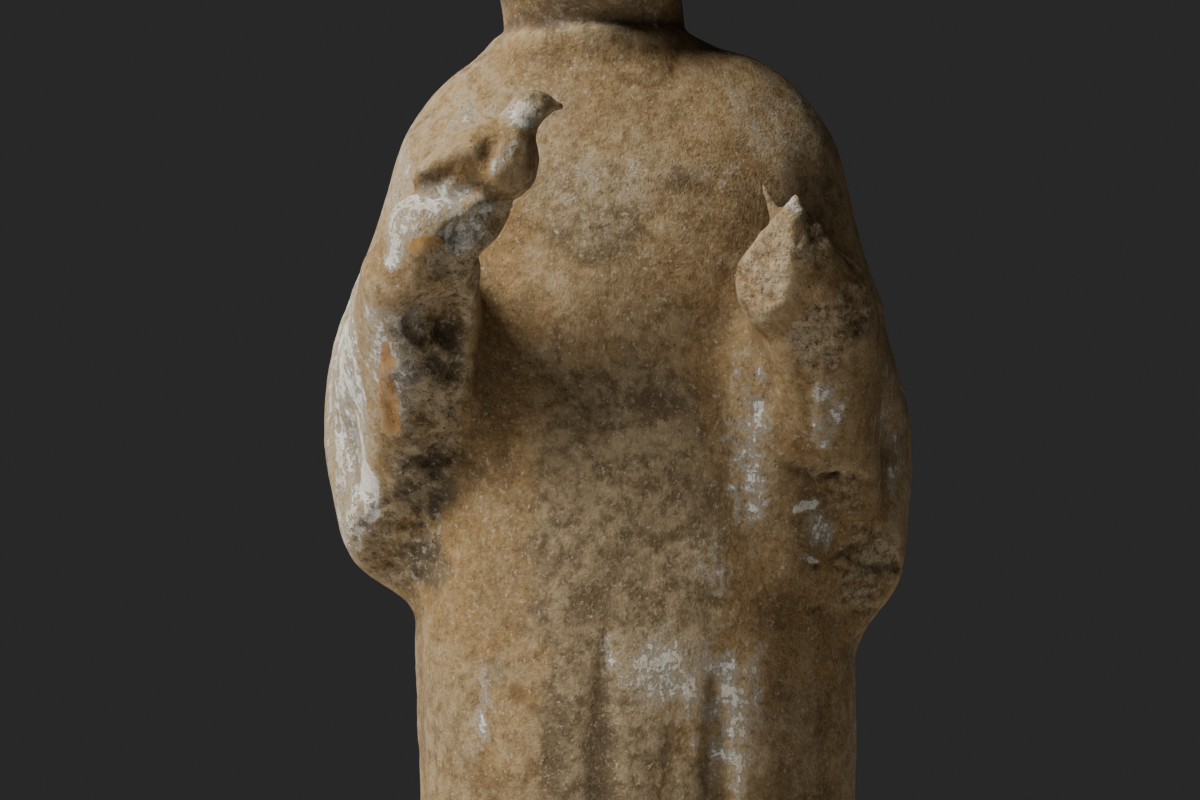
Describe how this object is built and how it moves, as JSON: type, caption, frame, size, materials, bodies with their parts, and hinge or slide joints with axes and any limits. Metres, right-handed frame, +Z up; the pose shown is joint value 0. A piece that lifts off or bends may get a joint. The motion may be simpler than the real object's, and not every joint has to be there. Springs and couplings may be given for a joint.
{
  "type": "pottery court lady figure",
  "caption": "Standing painted-pottery court lady in a long robe, a small bird on the right hand, the left hand broken off, on a low slab.",
  "frame": {"origin": "middle of the box's underside, on the surface that the figure stands on", "axes": "+Z up, the figure faces -Y, its own right hand with the bird is towards -X"},
  "size_m": [0.1696, 0.1576, 0.5075],
  "materials": {
    "fired_clay": "matt worn slip over tan fired clay"
  },
  "bodies": {
    "root": {"court_lady": "fired_clay"}
  },
  "joints": []
}
